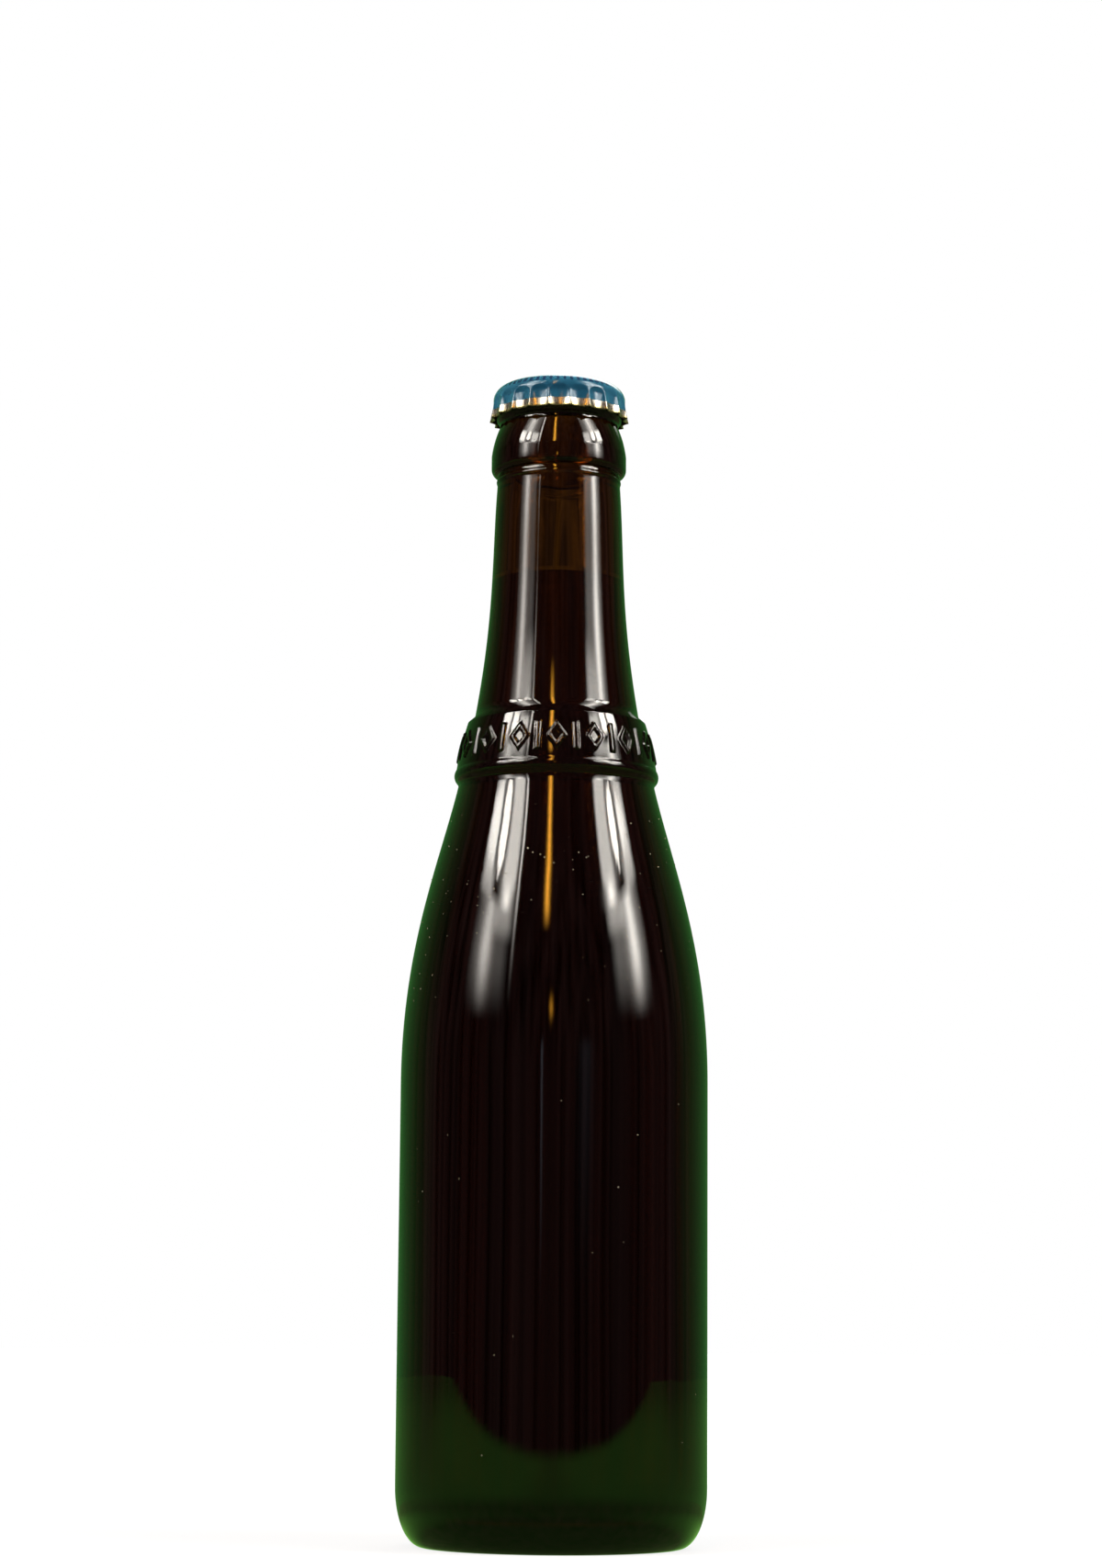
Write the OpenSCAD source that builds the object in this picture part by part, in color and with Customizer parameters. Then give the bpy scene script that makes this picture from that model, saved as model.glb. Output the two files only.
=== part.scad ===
// Brown glass beer bottle of 33 cl, filled and closed with a crimped crown cap.
// The origin is the centre of the ring that the bottle stands on, and +Z runs up its axis.
// The glass is one turned solid, the beer fills it up to the fill level, and the cap
// sits on the rim of the mouth.

/* [Body] */
// Outer diameter of the straight body
body_d = 61; // [50:0.5:80]
// Height of the body, from the standing ring to where the shoulder begins
body_h = 90.2; // [60:0.2:130]
// Thickness of the glass in the body's wall
body_wall = 2.7; // [2:0.1:4]

/* [Base] */
// How far the rounded heel turns in from the body
heel_w = 5.4; // [3:0.2:9]
// Height of the rounded heel
heel_h = 11.5; // [5:0.5:16]
// Width of the flat ring that the bottle stands on
stand_w = 1.4; // [0.8:0.1:3]
// Rise of the hollow under the base
push_h = 4; // [2:0.5:8]
// Thickness of the glass in the middle of the base
base_glass = 4.2; // [3:0.1:7]
// Radius of the corner between the wall and the base, inside
inner_corner = 9; // [6:0.5:12]
// Height of the inside's lowest ring, where that corner meets the base
corner_floor = 5.6; // [4:0.2:8]

/* [Shoulder] */
// Height of the shoulder, from the straight body to the groove under the belt
shoulder_h = 59.4; // [40:0.2:80]
// Diameter of the glass at the groove under the belt
groove_d = 39.5; // [34:0.5:44]
// Length over which the shoulder leaves the body upright
shoulder_hold = 27; // [10:1:36]
// Length over which the shoulder runs straight into the groove
shoulder_run = 16; // [10:1:34]
// Slope of the shoulder at the groove, from upright
shoulder_slope = 13.3; // [8:0.1:25]

/* [Belt] */
// How far the belt stands out of the groove, above its bead
belt_step = 0.4; // [0:0.05:2]
// How far the belt's face leans in from its bead to its top edge
belt_lean = 2.2; // [0.5:0.1:4]
// Height of the belt
belt_h = 14.2; // [10:0.2:20]
// Height of the round bead along the belt's bottom edge
bead_h = 3.4; // [2:0.1:4]
// Outward bulge of the bead
bead_bulge = 0.6; // [0.3:0.05:0.9]
// Height of the small slope from the belt's top edge to the neck
ledge_h = 1.2; // [0.6:0.1:2]
// Width of that slope
ledge_w = 1.4; // [0.4:0.1:2.4]
// Outward bulge of the belt's face
belt_bulge = 0.2; // [0.1:0.05:0.8]
// Number of raised lozenges round the belt
mark_count = 16; // [8:1:18]
// Height of a lozenge and of the upright bar beside it
mark_h = 5.8; // [3:0.2:6.4]
// Width of a lozenge
mark_w = 3.8; // [2:0.2:5]
// Width of the raised line that draws a lozenge
mark_line = 0.8; // [0.5:0.1:1.2]
// Height of the raised marks above the belt
mark_rise = 0.35; // [0.2:0.05:1]
// Width of the bar between two lozenges
bar_w = 0.9; // [0.5:0.1:1.4]
// How far the marks sit below the middle of the belt's face
mark_drop = 0.4; // [0:0.1:1]

/* [Neck] */
// Diameter of the neck under the collar
neck_top_d = 24.7; // [23:0.1:26]
// Height of the neck, from the belt to the collar
neck_h = 50.1; // [30:0.1:70]
// Slope of the neck at its foot, from upright
neck_slope = 10; // [5:1:20]
// Length over which the neck keeps the slope of its foot
neck_run = 23; // [8:1:28]
// Slope of the neck at its top, from upright
neck_top_slope = 4.9; // [0:0.1:8]
// Length over which the neck keeps the slope of its top
neck_top_run = 15; // [8:1:28]
// Thickness of the glass in the neck's wall
neck_wall = 3.3; // [2.4:0.1:4]

/* [Finish] */
// How far the collar below the cap stands out of the neck
collar_step = 1.4; // [0.5:0.1:2.5]
// Height of the collar
collar_h = 10.3; // [8:0.2:14]
// Height of the rounded lower edge of the collar
collar_foot = 1.4; // [1:0.1:3]
// Height of the upright stretch of the collar
collar_flat = 2.6; // [1:0.1:4]
// Outward bulge of the collar above its upright stretch
collar_bulge = 0.25; // [0.1:0.05:0.5]
// Depth of the groove between the collar and the locking ring
lock_undercut = 1.1; // [0.4:0.1:1.6]
// Diameter of the locking ring that the cap is crimped to
lock_d = 26.2; // [25.4:0.1:26.6]
// Height from the groove to the widest part of the locking ring
lock_rise = 2.4; // [1.5:0.1:3]
// Height of the locking ring's upright stretch
lock_flat = 1.9; // [1:0.1:2.5]
// Height of the rounded top, from the locking ring to the rim
lip_h = 3.9; // [3:0.1:5]
// Width of the flat rim that the cap seals on
rim_w = 0.8; // [0.4:0.1:1.2]
// Radius of the rounded edge between the rim and the bore
rim_round = 0.8; // [0.3:0.1:1.2]
// Diameter of the bore through the mouth
bore_d = 16.8; // [15:0.1:18]
// Height over which the neck's inside narrows to the bore
bore_taper = 12; // [6:1:18]

/* [Beer] */
// Depth of the empty space between the rim and the beer
headspace = 40.4; // [20:0.2:60]

/* [Crown cap] */
// Thickness of the tinplate
cap_sheet = 0.3; // [0.2:0.05:0.4]
// Height of the crimped cap
cap_h = 7.1; // [6:0.1:7.6]
// Height of the rounded shoulder between the top and the skirt
cap_round_h = 3; // [2:0.1:3.2]
// How far the skirt spreads from the locking ring down to its lower edge
cap_flare = 0.15; // [0:0.05:0.6]
// Number of flutes round the skirt
flute_count = 21; // [21:1:24]
// How far a flute stands out of the skirt at the lower edge
flute_rise = 0.8; // [0.3:0.05:1.2]
// Small gap between the skirt and the locking ring
cap_gap = 0.05; // [0.02:0.01:0.2]

/* [Colours] */
// Colour of the glass
glass_colour = "#2e1206";
// Colour of the beer
beer_colour = "#1c0603";
// Colour of the cap
cap_colour = "#1f5f94";

/* [Hidden] */

$fn = 96;
curve_steps = 16;
bend_steps = 8;
// Height of the upright bottom of the groove under the belt and of the one under the locking ring.
groove_flat = 0.6;
// Outward bulge of the locking ring's underside.
lock_bulge = 0.3;
// How much faster than evenly the flutes grow down the skirt, 1 being evenly.
flute_growth = 1.3;
// Rows of faces down the cap's rounded shoulder and its skirt, and steps round each flute.
round_rows = 5;
skirt_rows = 4;
steps_per_flute = 6;

body_r = body_d / 2;
stand_r = body_r - heel_w;
groove_r = groove_d / 2;
belt_r = groove_r + belt_step;
belt_top_r = belt_r - belt_lean;
neck_foot_r = belt_top_r - ledge_w;
neck_top_r = neck_top_d / 2;
collar_r = neck_top_r + collar_step;
lock_r = lock_d / 2;
lock_groove_r = lock_r - lock_undercut;
bore_r = bore_d / 2;
rim_r = bore_r + rim_round + rim_w;
groove_z = body_h + shoulder_h;
belt_z = groove_z + bead_h;
belt_top_z = groove_z + belt_h - ledge_h;
neck_z = groove_z + belt_h;
collar_z = neck_z + neck_h;
lock_groove_z = collar_z + collar_h;
lock_z = lock_groove_z + lock_rise;
lip_z = lock_z + lock_flat;
rim_z = lip_z + lip_h;
fill_z = rim_z - headspace;
cap_top_z = rim_z + cap_sheet;
cap_edge_z = cap_top_z - cap_h;
cap_bend_z = cap_top_z - cap_round_h;
cap_steps = flute_count * steps_per_flute;
cap_flat_r = rim_r + cap_gap;
cap_bend_r = lock_r + cap_gap + cap_sheet;
flute_top_z = cap_top_z - cap_round_h / 2;

mark_z = (belt_z + belt_top_z) / 2 - mark_drop;
mark_tilt = atan2(belt_lean, belt_top_z - belt_z);
mark_r = (belt_r + belt_top_r) / 2 + belt_bulge + mark_drop * tan(mark_tilt);

// Points of a cubic curve from a to d, with b and c as its handles.
function curve(a, b, c, d, n = curve_steps) =
    [for (i = [0:n]) let (t = i / n, u = 1 - t)
        a * pow(u, 3) + b * 3 * u * u * t + c * 3 * u * t * t + d * pow(t, 3)];

// Points of a quarter ellipse round centre c, from angle a0 to angle a1.
function ellipse(c, rx, rz, a0, a1, n = bend_steps) =
    [for (i = [0:n]) let (a = a0 + (a1 - a0) * i / n)
        [c.x + rx * cos(a), c.y + rz * sin(a)]];

// Points of a round arc from a up to b that bulges outwards by the given amount.
function bow(a, b, bulge, n = bend_steps) =
    let (chord = norm(b - a), along = (b - a) / chord, out = [along.y, -along.x],
         radius = (chord * chord / 4 + bulge * bulge) / (2 * bulge),
         middle = (a + b) / 2 - out * (radius - bulge), half = asin(chord / 2 / radius))
    [for (i = [0:n]) let (t = -half + 2 * half * i / n)
        middle + radius * (out * cos(t) + along * sin(t))];

// A list without its first point, where it would repeat the point before it.
function tail(points) = [for (i = [1:len(points) - 1]) points[i]];

// The shoulder's outer line, from the straight body to the groove.
shoulder_line = curve(
    [body_r, body_h],
    [body_r, body_h + shoulder_hold],
    [groove_r + shoulder_run * tan(shoulder_slope), groove_z - shoulder_run],
    [groove_r, groove_z]);

// The neck's outer line, from the belt to the collar.
neck_line = curve(
    [neck_foot_r, neck_z],
    [neck_foot_r - neck_run * tan(neck_slope), neck_z + neck_run],
    [neck_top_r + neck_top_run * tan(neck_top_slope), collar_z - neck_top_run],
    [neck_top_r, collar_z]);

// The heel, turned up from the standing ring to the straight body.
heel_line = ellipse([stand_r, heel_h], heel_w, heel_h, -90, 0, curve_steps);

// The belt: its bead, its bulging face and its ledge at the top.
belt_line = concat(
    bow([groove_r, groove_z + groove_flat], [belt_r, belt_z], bead_bulge),
    tail(bow([belt_r, belt_z], [belt_top_r, belt_top_z], belt_bulge)));

// The collar: a round lower edge, an upright stretch and a curve in to the groove.
collar_line = concat(
    ellipse([neck_top_r, collar_z + collar_foot], collar_step, collar_foot, -90, 0),
    bow([collar_r, collar_z + collar_foot + collar_flat],
        [lock_groove_r, lock_groove_z], collar_bulge));

// The locking ring and the rounded lip, up to the flat rim.
lip_line = concat(
    bow([lock_groove_r, lock_groove_z + groove_flat], [lock_r, lock_z], lock_bulge),
    ellipse([rim_r, lip_z], lock_r - rim_r, lip_h, 0, 90));

outer_line = concat(heel_line, shoulder_line, belt_line, neck_line, collar_line, lip_line);

// Thickness of the wall at height z, which grows evenly from the body to the neck.
function wall_at(z) =
    let (t = min(1, max(0, (z - body_h) / (neck_z - body_h))))
    body_wall + (neck_wall - body_wall) * t;

// The inside of the glass, from the middle of the base up to the mouth.
inner_floor_z = push_h + base_glass;
inner_r = body_r - body_wall;
inner_line = concat(
    [[0, inner_floor_z]],
    ellipse([inner_r - inner_corner, corner_floor + inner_corner],
            inner_corner, inner_corner, -90, 0),
    [for (p = concat(shoulder_line, neck_line)) [p.x - wall_at(p.y), p.y]],
    [[bore_r, collar_z + bore_taper]],
    ellipse([bore_r + rim_round, rim_z - rim_round], rim_round, rim_round, 180, 90));

// The hollow under the base, from the standing ring to the middle.
push_line = curve(
    [stand_r - stand_w, 0],
    [stand_r - stand_w - push_h, push_h],
    [(stand_r - stand_w) / 2, push_h],
    [0, push_h]);

// The inside of the glass as one turned solid.
module inside() {
    rotate_extrude() polygon(concat(inner_line, [[0, rim_z]]));
}

// One raised lozenge, drawn as a closed line, pointing outwards.
module lozenge() {
    inner = 1 - 2 * mark_line / min(mark_w, mark_h);
    rotate([90, 0, 90]) linear_extrude(2 * mark_rise, center = true) difference() {
        lozenge_outline(1);
        lozenge_outline(inner);
    }
}

// The outline of a lozenge, scaled evenly.
module lozenge_outline(size) {
    polygon([[mark_w, 0], [0, mark_h], [-mark_w, 0], [0, -mark_h]] * size / 2);
}

// An upright bar, half of whose depth stands out.
module bar() {
    cube([2 * mark_rise, bar_w, mark_h], center = true);
}

// The ring of raised marks round the belt.
module marks() {
    for (i = [0:mark_count - 1]) {
        rotate([0, 0, 360 * i / mark_count])
            translate([mark_r, 0, mark_z])
            rotate([0, -mark_tilt, 0]) lozenge();
        rotate([0, 0, 360 * (i + 0.5) / mark_count])
            translate([mark_r, 0, mark_z])
            rotate([0, -mark_tilt, 0]) bar();
    }
}

module bottle() {
    color(glass_colour) union() {
        rotate_extrude() polygon(concat(
            [for (i = [len(push_line) - 1:-1:0]) push_line[i]],
            outer_line,
            [for (i = [len(inner_line) - 1:-1:0]) inner_line[i]]));
        marks();
    }
}

module beer() {
    color(beer_colour) intersection() {
        inside();
        cylinder(r = body_r, h = fill_z);
    }
}

// Radius and height of the cap's outer side, without flutes, from the top to the edge.
cap_side = concat(
    [[cap_flat_r / 2, cap_top_z]],
    ellipse([cap_flat_r, cap_bend_z], cap_bend_r - cap_flat_r, cap_round_h, 90, 0, round_rows),
    [for (i = [1:skirt_rows]) let (t = i / skirt_rows)
        [cap_bend_r + cap_flare * t, cap_bend_z + (cap_edge_z - cap_bend_z) * t]]);

// The same line on the inner side of the sheet, from the top to the edge.
cap_inner_side = concat(
    [[cap_flat_r / 2, cap_top_z - cap_sheet]],
    ellipse([cap_flat_r, cap_bend_z], cap_bend_r - cap_sheet - cap_flat_r,
            cap_round_h - cap_sheet, 90, 0, round_rows),
    [for (i = [1:skirt_rows]) let (t = i / skirt_rows)
        [cap_bend_r - cap_sheet + cap_flare * t, cap_bend_z + (cap_edge_z - cap_bend_z) * t]]);

// How far a flute stands out at height z: nothing on the top, all of it at the edge.
function flute_at(z) =
    let (t = min(1, max(0, (flute_top_z - z) / (flute_top_z - cap_edge_z))))
    flute_rise * pow(t, flute_growth);

// The shape of the flutes round the skirt: 1 on a crest and 0 between two crests.
function crest(a) = pow(0.5 - 0.5 * cos(flute_count * (a + 90)), 2);

// One ring of points round the cap.
function cap_ring(p) =
    [for (j = [0:cap_steps - 1]) let (a = 360 * j / cap_steps, r = p.x + flute_at(p.y) * crest(a))
        [r * cos(a), r * sin(a), p.y]];

module crown_cap() {
    lines = concat(cap_side, [for (i = [len(cap_inner_side) - 1:-1:0]) cap_inner_side[i]]);
    rings = len(lines);
    points = concat(
        [[0, 0, cap_top_z]],
        [for (p = lines) each cap_ring(p)],
        [[0, 0, cap_top_z - cap_sheet]]);
    last = len(points) - 1;
    faces = concat(
        [for (j = [0:cap_steps - 1]) [0, 1 + (j + 1) % cap_steps, 1 + j]],
        [for (i = [0:rings - 2], j = [0:cap_steps - 1])
            let (a = 1 + i * cap_steps, b = a + cap_steps, k = (j + 1) % cap_steps)
            each [[a + j, a + k, b + k], [a + j, b + k, b + j]]],
        [for (j = [0:cap_steps - 1])
            let (a = 1 + (rings - 1) * cap_steps) [last, a + j, a + (j + 1) % cap_steps]]);
    color(cap_colour) polyhedron(points = points, faces = faces);
}

bottle();
beer();
crown_cap();
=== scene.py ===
"""Looks of the brown glass beer bottle: its glass, beer, crown cap and dust, and the studio round it."""

import logging
import math
from abc import ABC, abstractmethod
from dataclasses import dataclass, field
from enum import Enum

import bpy
import numpy as np
from mathutils import Matrix, Vector


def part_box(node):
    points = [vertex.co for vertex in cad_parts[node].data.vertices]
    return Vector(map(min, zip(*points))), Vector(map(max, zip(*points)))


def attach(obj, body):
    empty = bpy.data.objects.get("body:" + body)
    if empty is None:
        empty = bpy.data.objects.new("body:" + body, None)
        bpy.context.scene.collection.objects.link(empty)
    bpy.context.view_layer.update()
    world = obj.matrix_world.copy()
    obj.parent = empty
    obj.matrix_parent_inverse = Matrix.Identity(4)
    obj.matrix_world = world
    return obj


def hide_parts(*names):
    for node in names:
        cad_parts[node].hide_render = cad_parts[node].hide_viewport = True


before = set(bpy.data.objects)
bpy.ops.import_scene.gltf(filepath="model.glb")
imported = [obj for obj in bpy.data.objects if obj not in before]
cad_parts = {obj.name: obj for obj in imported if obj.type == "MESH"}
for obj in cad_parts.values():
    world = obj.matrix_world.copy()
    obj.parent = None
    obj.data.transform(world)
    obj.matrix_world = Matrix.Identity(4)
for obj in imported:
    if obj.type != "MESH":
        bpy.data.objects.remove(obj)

LOG = logging.getLogger("beer_bottle")
MM = 0.001
FACE_MARK = "marked_face"
GLOW_MARK = "glow"
WHITE = (1.0, 1.0, 1.0)
EVEN = (1.0, 1.0, 1.0)
Point = tuple[float, float]  # radius and height of a point, or any two numbers that go together
Triple = tuple[float, float, float]
Colour = Triple
Output = tuple[bpy.types.Node, str | int]  # a shader node and one of its output sockets


class Slot(Enum):
    """The record's material slots."""

    GLASS = "brown_glass"
    BEER = "dark_beer"
    LACQUER = "blue_lacquer"


class Node(Enum):
    """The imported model's sub-parts."""

    BOTTLE = "bottle"
    BEER = "beer"
    CAP = "crown_cap"


class Side(Enum):
    """Which skin of the glass a row of points belongs to."""

    OUTER = "outer"
    MARKED = "marked"
    INNER = "inner"


# --- lines and fields ---------------------------------------------------------------------------


def curve(a: Point, b: Point, c: Point, d: Point, steps: int) -> list[Point]:
    """Points of a cubic curve.

    Args:
        a: The first point, radius and height in millimetres.
        b: The first point's handle.
        c: The last point's handle.
        d: The last point.
        steps: How many stretches the curve is cut into.

    Returns:
        The points from a to d, both included.
    """
    t = np.linspace(0.0, 1.0, steps + 1)[:, None]
    u = 1.0 - t
    near_a = np.array(a) * u**3 + 3.0 * np.array(b) * u * u * t
    points = near_a + 3.0 * np.array(c) * u * t * t + np.array(d) * t**3
    return [(float(p[0]), float(p[1])) for p in points]


def ellipse(centre: Point, across: float, up: float, start: float, end: float, steps: int) -> list[Point]:
    """Points of an arc of an ellipse.

    Args:
        centre: Its middle, radius and height in millimetres.
        across: Its reach across.
        up: Its reach upwards.
        start: The first point's angle in degrees.
        end: The last point's angle in degrees.
        steps: How many stretches the arc is cut into.

    Returns:
        The points from start to end.
    """
    angles = np.radians(np.linspace(start, end, steps + 1))
    return [(centre[0] + across * math.cos(a), centre[1] + up * math.sin(a)) for a in angles]


def bow(a: Point, b: Point, bulge: float, steps: int) -> list[Point]:
    """Points of a round arc that bulges outwards.

    Args:
        a: The lower point, radius and height in millimetres.
        b: The upper point.
        bulge: How far the arc's middle stands out of the straight line.
        steps: How many stretches the arc is cut into.

    Returns:
        The points from a to b.
    """
    start, end = Vector(a), Vector(b)
    chord = (end - start).length
    along = (end - start) / chord
    out = Vector((along.y, -along.x))
    radius = (chord * chord / 4.0 + bulge * bulge) / (2.0 * bulge)
    middle = (start + end) / 2.0 - out * (radius - bulge)
    half = math.asin(chord / 2.0 / radius)
    points = []
    for step in range(steps + 1):
        angle = -half + 2.0 * half * step / steps
        point = middle + radius * (out * math.cos(angle) + along * math.sin(angle))
        points.append((point.x, point.y))
    return points


def ease(value: np.ndarray, low: float, high: float) -> np.ndarray:
    """Smooth rise from 0 below low to 1 above high.

    Args:
        value: The numbers to ease.
        low: Where the rise begins.
        high: Where it ends.

    Returns:
        The eased numbers, from 0 to 1.
    """
    t = np.clip((value - low) / (high - low), 0.0, 1.0)
    return t * t * (3.0 - 2.0 * t)


def band(value: np.ndarray, low: float, high: float, soft: float) -> np.ndarray:
    """1 between low and high and 0 outside, with edges softened over soft on each side."""
    return ease(value, low - soft, low + soft) * (1.0 - ease(value, high - soft, high + soft))


@dataclass(frozen=True)
class Ripple:
    """A gentle unevenness of blown glass, as a sum of slow waves round and up the bottle.

    Attributes:
        height: How high a typical wave stands, in millimetres.
        waves: How many waves there are.
        round_most: The most often that a wave goes round.
        up_most: The most that a wave turns per millimetre of height, in radians.
        seed: What the draws start from.
    """

    height: float
    waves: int
    round_most: int
    up_most: float
    seed: int

    def at(self, angle: np.ndarray, z: float) -> np.ndarray:
        """How far the glass stands out of its true line.

        Args:
            angle: Angles round the axis in radians.
            z: Height in millimetres.

        Returns:
            One offset in millimetres for each angle.
        """
        dice = np.random.default_rng(self.seed)
        total = np.zeros_like(angle)
        for _ in range(self.waves):
            turns = dice.integers(1, self.round_most + 1)
            pitch = dice.uniform(-self.up_most, self.up_most)
            phase = dice.uniform(0.0, 2.0 * math.pi)
            total += np.sin(turns * angle + pitch * z + phase)
        return total * self.height / math.sqrt(self.waves)


# --- mesh building ------------------------------------------------------------------------------


@dataclass
class Ring:
    """One closed row of points in a skin, or a single point on the axis."""

    first: int
    count: int


@dataclass
class Skin:
    """A mesh that is built ring by ring round the bottle's axis, in millimetres."""

    points: list[np.ndarray] = field(default_factory=list)
    faces: list[tuple[int, ...]] = field(default_factory=list)
    finishes: list[int] = field(default_factory=list)
    size: int = 0

    def ring(self, angle: np.ndarray, radius: np.ndarray, z: np.ndarray | float) -> Ring:
        """Adds one ring of points.

        Args:
            angle: Angles round the axis in radians.
            radius: Distance from the axis for each angle.
            z: Height, one for all or one for each angle.

        Returns:
            The new ring.
        """
        height = np.broadcast_to(np.asarray(z, float), angle.shape)
        self.points.append(np.column_stack([radius * np.cos(angle), radius * np.sin(angle), height]))
        made = Ring(self.size, len(angle))
        self.size += len(angle)
        return made

    def tip(self, z: float) -> Ring:
        """Adds a single point on the axis.

        Args:
            z: Its height.

        Returns:
            The new ring of one point.
        """
        self.points.append(np.array([[0.0, 0.0, z]]))
        self.size += 1
        return Ring(self.size - 1, 1)

    def bridge(self, low: Ring, high: Ring, finish: int = 0) -> None:
        """Joins two rings that follow each other on the line, the first one lower on an outer side.

        Args:
            low: The first ring.
            high: The next ring, with as many points, a whole number of times as many or as few, or one.
            finish: The number of the material slot of the new faces.
        """
        if low.count == 1 or high.count == 1:
            self._fan(low, high, finish)
            return
        if low.count == high.count:
            after = [(i + 1) % low.count for i in range(low.count)]
            for i, k in enumerate(after):
                self._face((low.first + i, low.first + k, high.first + k, high.first + i), finish)
            return
        few, many = (low, high) if low.count < high.count else (high, low)
        share = many.count // few.count
        for i in range(few.count):
            a, b = few.first + i, few.first + (i + 1) % few.count
            run = [many.first + (i * share + s) % many.count for s in range(share + 1)]
            corners = (a, b, *reversed(run)) if few is low else (*run, b, a)
            self._face(corners, finish)

    def _fan(self, low: Ring, high: Ring, finish: int) -> None:
        """Closes a ring onto a single point on the axis.

        Args:
            low: The first ring or point.
            high: The next one.
            finish: The number of the material slot of the new faces.
        """
        ring, point = (high, low.first) if low.count == 1 else (low, high.first)
        for i in range(ring.count):
            a, b = ring.first + i, ring.first + (i + 1) % ring.count
            self._face((point, b, a) if low.count == 1 else (a, b, point), finish)

    def _face(self, corners: tuple[int, ...], finish: int) -> None:
        """Adds one face with its material slot."""
        self.faces.append(corners)
        self.finishes.append(finish)

    def build(self, name: str, materials: list[bpy.types.Material]) -> bpy.types.Object:
        """Makes the mesh object in metres, smooth shaded.

        Args:
            name: The new object's name.
            materials: Its materials, in the order of the slot numbers. A single material gets those
                numbers as marks on the faces.

        Returns:
            The object, linked to the scene.
        """
        mesh = bpy.data.meshes.new(name)
        mesh.from_pydata((np.concatenate(self.points) * MM).tolist(), [], self.faces)
        for material in materials:
            mesh.materials.append(material)
        if len(materials) > 1:
            mesh.polygons.foreach_set("material_index", self.finishes)
        elif any(self.finishes):
            marked = mesh.attributes.new(FACE_MARK, "FLOAT", "FACE")
            marked.data.foreach_set("value", [float(finish) for finish in self.finishes])
        mesh.polygons.foreach_set("use_smooth", [True] * len(self.faces))
        mesh.validate()
        mesh.update()
        made = bpy.data.objects.new(name, mesh)
        bpy.context.scene.collection.objects.link(made)
        return made


def report(piece: bpy.types.Object) -> None:
    """Logs a finished piece with its number of faces."""
    LOG.info("%s: %d faces", piece.name, len(piece.data.polygons))


def circle(steps: int) -> np.ndarray:
    """Evenly spaced angles round the axis in radians."""
    return np.arange(steps) * 2.0 * math.pi / steps


# --- materials ----------------------------------------------------------------------------------


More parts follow.
